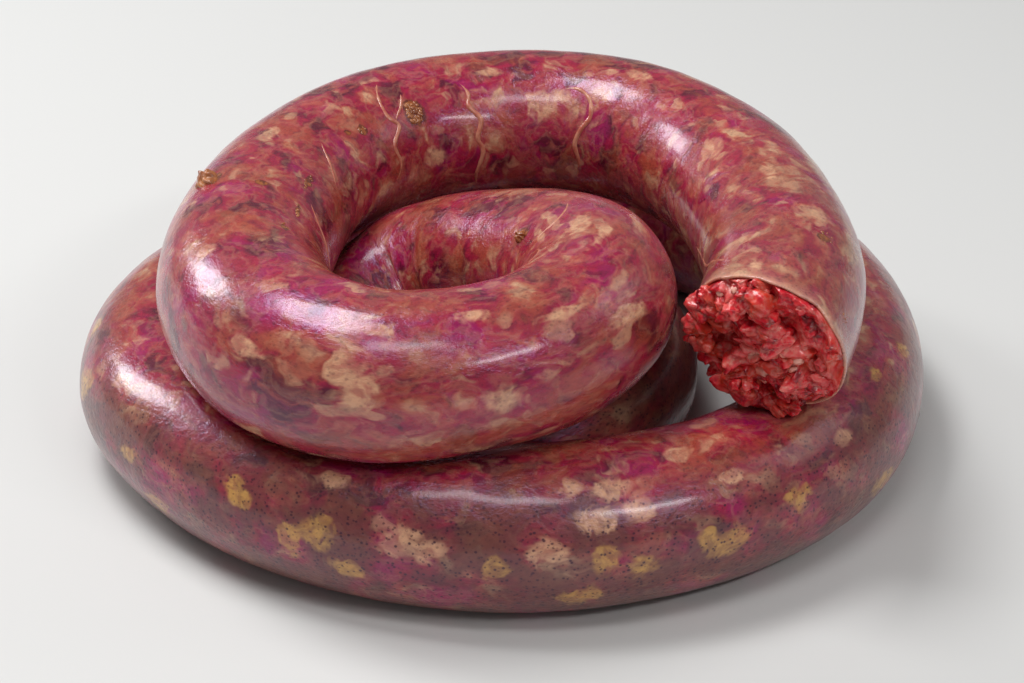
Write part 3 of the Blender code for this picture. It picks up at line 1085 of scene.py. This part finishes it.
@dataclass
class MinceCore:
    """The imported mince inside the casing, from one cut to the other.

    Attributes:
        skin: The casing round it.
        inset: How far inside the casing's outside it lies, in mm.
    """

    skin: Skin
    inset: float = 1.5

    def build(self, mince: bpy.types.Material) -> bpy.types.Object:
        """Makes the core.

        Args:
            mince: Its finish.

        Returns:
            The core's object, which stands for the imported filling.
        """
        rows = np.arange(8, self.skin.rope.samples - 8, 5)
        outer = self.skin.rings[rows][:, ::4]
        centre = self.skin.rope.centre[rows][:, None]
        arms = outer - centre
        rings = centre + arms * (1.0 - self.inset / np.linalg.norm(arms, axis=2, keepdims=True))
        first = np.broadcast_to(rings[0].mean(axis=0), (1, *rings[0].shape))
        last = np.broadcast_to(rings[-1].mean(axis=0), (1, *rings[0].shape))
        shape = wound(np.concatenate([first, rings, last]))
        return Piece("mince_core", "mince", "filling").add(shape, mince)


@dataclass(frozen=True)
class Vein:
    """A pale thread under the skin.

    Attributes:
        path: Places along the rope in mm, and angles round it.
        radius: Half its width in mm.
    """

    path: tuple[tuple[float, float], ...]
    radius: float = 0.5


@dataclass
class Details:
    """What sits on the skin: pale veins, the tied-off stub, the pinched nub and a few crumbs."""

    skin: Skin
    veins: tuple[Vein, ...] = (
        Vein(((936, 84), (931, 66), (929, 47), (931, 36), (926, 24), (927, 8), (923, -8)), 0.55),
        Vein(((938, 62), (936, 52), (930, 40)), 0.35),
        Vein(((955, 64), (957.5, 50), (957, 38), (960, 26), (958.5, 12), (960, 0), (958, -20), (959, -40)), 0.62),
        Vein(((984, 50), (989, 52), (993.5, 44), (995, 30), (992, 18), (990.5, 6), (992, -10), (990, -34)), 0.60),
        Vein(((875, 44), (870, 34), (867, 24), (864, 13), (859, 4)), 0.40),
        Vein(((903, 62), (899, 50), (896, 41), (891, 28)), 0.35),
        Vein(((1110, 62), (1102, 36), (1094, 18), (1080, 4), (1060, -5)), 0.40),
        Vein(((741, 28), (746, 40), (754, 48), (764, 56)), 0.30),
        Vein(((736, 34), (737.5, 52), (735, 68), (728, 82)), 0.30),
    )

    def _thread(self, shape: bmesh.types.BMesh, vein: Vein) -> None:
        """Adds one vein: a thin tube half sunk in the skin."""
        places = np.array(vein.path)
        at = np.linspace(0, len(places) - 1, 10 * len(places))
        knots = np.arange(len(places), dtype=float)
        line = [self.skin.point(a, g, -0.45 * vein.radius)
                for a, g in zip(eased(at, knots, places[:, 0]), eased(at, knots, places[:, 1]))]
        count = 8
        rings = []
        for i, spot in enumerate(line):
            ahead = (line[min(i + 1, len(line) - 1)] - line[max(i - 1, 0)]).normalized()
            out = Vector(unit(np.array(spot) - self.skin.rope.centre[self.skin.rope.row(float(np.interp(at[i], knots, places[:, 0])))]))
            across = ahead.cross(out).normalized()
            width = vein.radius * math.sin(math.pi * (i + 0.6) / (len(line) + 0.2)) ** 0.5
            width *= 1.0 + 0.35 * noise.noise(spot * 0.5)
            rings.append([spot + (across * math.cos(t) * 1.2 + out * math.sin(t)) * width
                          for t in np.linspace(0, 2 * math.pi, count, endpoint=False)])
        rings = [[line[0]] * count] + rings + [[line[-1]] * count]
        made = wound(np.array(rings))
        mesh = bpy.data.meshes.new("thread")
        made.to_mesh(mesh)
        made.free()
        shape.from_mesh(mesh)
        bpy.data.meshes.remove(mesh)

    def _knob(self, along: float, degrees: float, radius: float, tall: float, seed: float) -> bmesh.types.BMesh:
        """A puckered stub of casing.

        Args:
            along: Place along the rope in mm.
            degrees: Angle round it.
            radius: Its radius in mm.
            tall: Height over radius.
            seed: Shifts its creases.

        Returns:
            The stub's mesh in metres.
        """
        shape = bmesh.new()
        made = bmesh.ops.create_icosphere(shape, subdivisions=5, radius=1.0)["verts"]
        spot = self.skin.point(along, degrees, -0.3 * radius)
        row = self.skin.rope.row(along)
        out = (spot - Vector(self.skin.rope.centre[row])).normalized()
        ahead = Vector(self.skin.rope.tangent[row])
        across = out.cross(ahead).normalized()
        for vert in made:
            x, y, z = vert.co
            angle = math.atan2(y, x)
            pleats = 1.0 + 0.16 * math.sin(7 * angle + seed + 2.0 * z) * math.hypot(x, y)
            dent = 1.0 + 0.28 * noise.noise(vert.co * 2.1 + Vector((seed, 0, 0)))
            pinch = 1.0 - 0.35 * max(z, 0.0) ** 2
            flat = radius * pleats * dent * pinch
            rise = radius * tall * z * dent - (0.35 * radius if z > 0.75 and math.hypot(x, y) < 0.35 else 0.0)
            vert.co = (spot + ahead * x * flat + across * y * flat + out * rise) * MM
        return shape

    def _crumbs(self) -> bmesh.types.BMesh:
        """Small dried crumbs on the top turn."""
        roll = random.Random(5)
        shape = bmesh.new()
        groups = ((939, 42, 6.0, 9.0, 70, 0.55), (918, 47, 2.5, 4.0, 10, 0.4), (1095, 119, 4.0, 6.0, 9, 0.35),
                  (882, 50, 9.0, 2.5, 14, 0.4), (866, 50, 8.0, 2.0, 10, 0.35), (852, 61, 4.0, 2.0, 5, 0.3),
                  (1109, 150, 3.0, 9.0, 4, 0.3))
        for along, degrees, run, spread, count, size in groups:
            for _ in range(count):
                radius = roll.uniform(0.5, 1.2) * size
                reach, angle = math.sqrt(roll.random()), roll.uniform(0, 2 * math.pi)
                spot = self.skin.point(along + reach * math.cos(angle) * run / 2,
                                       degrees + reach * math.sin(angle) * spread, -0.5 * radius)
                made = bmesh.ops.create_icosphere(shape, subdivisions=2, radius=radius)["verts"]
                for vert in made:
                    dent = 1.0 + 0.5 * noise.noise(vert.co / radius * 1.3 + spot)
                    vert.co = (spot + vert.co * dent) * MM
        return shape

    def build(self, vein: bpy.types.Material, stub: bpy.types.Material) -> None:
        """Makes all of them.

        Args:
            vein: Finish of the pale threads.
            stub: Finish of the stub, the nub and the crumbs.
        """
        threads = bmesh.new()
        for one in self.veins:
            self._thread(threads, one)
        Piece("veins", "casing").add(threads, vein)
        Piece("stub", "casing").add(self._knob(875.5, 121, 2.6, 1.3, 0.4), stub)
        Piece("nub", "casing").add(self._knob(727.5, 37, 1.3, 1.5, 2.0), stub)
        Piece("crumbs", "casing").add(self._crumbs(), stub)


@dataclass(frozen=True)
class Studio:
    """Pale floor, soft white lamps and the camera.

    Attributes:
        height: The camera's angle over the floor in degrees.
        distance: Its distance from the point it looks at, in metres.
        target: The point that it looks at, in metres.
        lens: Focal length in mm.
    """

    height: float = 28.0
    distance: float = 0.650
    target: tuple[float, float, float] = (0.0023, -0.0002, 0.019)
    lens: float = 100.0

    def _lamp(self, name: str, place: tuple[float, float, float], size: tuple[float, float], power: float) -> None:
        """Adds a white softbox that faces the object."""
        light = bpy.data.lights.new(name, "AREA")
        light.shape = "RECTANGLE"
        light.size, light.size_y = size
        light.energy = power
        made = bpy.data.objects.new(name, light)
        bpy.context.scene.collection.objects.link(made)
        made.location = place
        made.rotation_euler = (Vector((0, 0, 0.03)) - Vector(place)).to_track_quat("-Z", "Y").to_euler()

    def build(self) -> None:
        """Lays the floor, hangs the lamps and stands the camera."""
        scene = bpy.context.scene
        scene.view_settings.view_transform = "Standard"
        world = bpy.data.worlds.new("studio_air")
        scene.world = world
        world.use_nodes = True
        world.node_tree.nodes["Background"].inputs[0].default_value = (1, 1, 1, 1)
        world.node_tree.nodes["Background"].inputs[1].default_value = 0.22
        shape = bmesh.new()
        bmesh.ops.create_grid(shape, x_segments=1, y_segments=1, size=2.5)
        mesh = bpy.data.meshes.new("floor")
        shape.to_mesh(mesh)
        shape.free()
        floor = bpy.data.objects.new("floor", mesh)
        s = new_material("floor_pale")
        s.set(Base_Color=(0.66, 0.66, 0.65), Roughness=0.7)
        mesh.materials.append(s.material)
        scene.collection.objects.link(floor)
        self._lamp("key_lamp", (-0.36, 0.16, 0.93), (0.46, 0.34), 6.4)
        self._lamp("left_lamp", (-0.78, 0.50, 0.50), (0.26, 0.34), 3.6)
        self._lamp("strip_lamp", (0.46, -0.62, 0.66), (0.36, 0.07), 1.7)
        self._lamp("top_lamp", (-0.06, -0.42, 0.92), (0.46, 0.16), 2.0)
        self._lamp("right_lamp", (0.84, 0.10, 0.66), (0.4, 0.4), 0.6)
        camera = bpy.data.cameras.new("camera")
        camera.lens = self.lens
        camera.clip_start = 0.01
        made = bpy.data.objects.new("camera", camera)
        scene.collection.objects.link(made)
        lift = math.radians(self.height)
        away = Vector((0.0, -math.cos(lift), math.sin(lift)))
        made.location = Vector(self.target) + away * self.distance
        made.rotation_euler = (-away).to_track_quat("-Z", "Y").to_euler()
        scene.camera = made


def main() -> None:
    """Builds the coil from the inside out, then the studio round it."""
    logging.basicConfig(level=logging.INFO, format="%(name)s: %(message)s")
    skin = Skin(Rope(1040), Rope(700))
    skin.build(SkinFinish())
    mince = MinceFinish().build()
    fat = FatFinish().build()
    MinceCore(skin).build(mince)
    CutFace(skin, Cut.TOP, seed=11).build(mince, fat)
    CutFace(skin, Cut.TAIL, seed=23).build(mince, fat)
    vein = FatFinish("vein_cream", (0.58, 0.24, 0.15), (0.46, 0.11, 0.07), 0.1).build()
    stub = FatFinish("stub_brown", (0.46, 0.17, 0.060), (0.24, 0.060, 0.018), 0.1).build()
    Details(skin).build(vein, stub)
    Studio().build()


if __name__ == "__main__":
    main()
